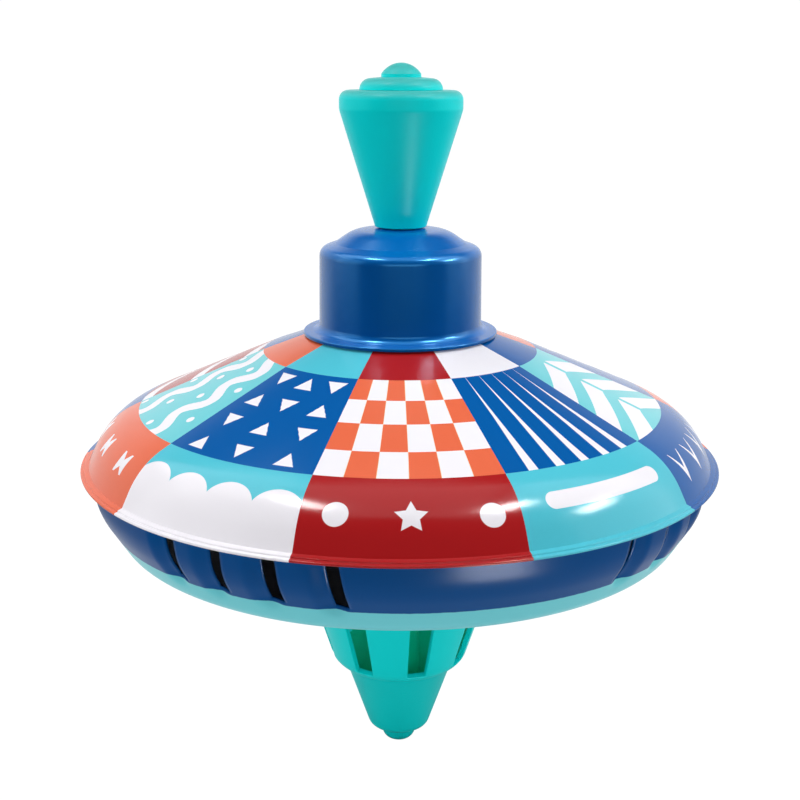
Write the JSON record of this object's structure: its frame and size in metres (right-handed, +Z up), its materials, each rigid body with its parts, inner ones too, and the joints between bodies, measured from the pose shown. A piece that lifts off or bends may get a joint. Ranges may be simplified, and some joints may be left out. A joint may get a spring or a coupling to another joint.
{
  "type": "pump humming top",
  "caption": "Printed tin spinning top with louvred lower shell, neck drum, pump handle on a twisted rod and a free-turning pointed foot.",
  "frame": {"origin": "centre of the small flat at the foot's tip, where the top touches the floor", "axes": "+Z up the spin axis, towards the handle; -Y is the side with the chequered panel"},
  "size_m": [0.19, 0.19, 0.211],
  "materials": {
    "teal_plastic": "satin moulded plastic",
    "upper_print": "glossy printed tin",
    "lower_print": "glossy printed tin",
    "neck_paint": "glossy paint on tin",
    "bright_steel": "bright drawn steel",
    "brass": "plain brass",
    "felt": "pressed felt",
    "natural_plastic": "natural nylon"
  },
  "bodies": {
    "foot": {"foot": "teal_plastic", "pivot_pin": "bright_steel", "thrust_washer": "brass", "clip_washer": "brass", "retaining_clip": "bright_steel"},
    "top_body": {"upper_shell": "upper_print", "lower_shell": "lower_print", "neck_housing": "neck_paint", "rod_guide": "natural_plastic", "clutch_seat": "natural_plastic", "clutch_lining": "felt", "centre_tube": "bright_steel", "hub_nut": "bright_steel", "pivot_bush": "natural_plastic"},
    "handle": {"handle_grip": "teal_plastic", "handle_cap": "teal_plastic", "drive_rod": "bright_steel", "grip_pin": "bright_steel", "stop_washer": "bright_steel", "stop_pin": "bright_steel"},
    "lift_ring": {"clutch_washer": "natural_plastic"},
    "drive_nut": {"drive_nut": "natural_plastic"}
  },
  "joints": [
    {"name": "body_spin", "type": "hinge", "parent": "foot", "child": "top_body", "pos_m": [0, 0, 0.05], "axis": [0, 0, 1], "continuous": true},
    {"name": "handle_lift", "type": "slide", "parent": "foot", "child": "handle", "axis": [0, 0, 1], "range_m": [0, 0.061]},
    {"name": "clutch_lift", "type": "slide", "parent": "foot", "child": "lift_ring", "axis": [0, 0, 1], "range_m": [0, 0.0006]},
    {"name": "nut_spin", "type": "hinge", "parent": "lift_ring", "child": "drive_nut", "pos_m": [0, 0, 0.143], "axis": [0, 0, 1], "range_deg": [-615, 5]}
  ],
  "couplings": [
    {"joint": "nut_spin", "follows": "handle_lift", "rad_per_m": -174.53}
  ]
}
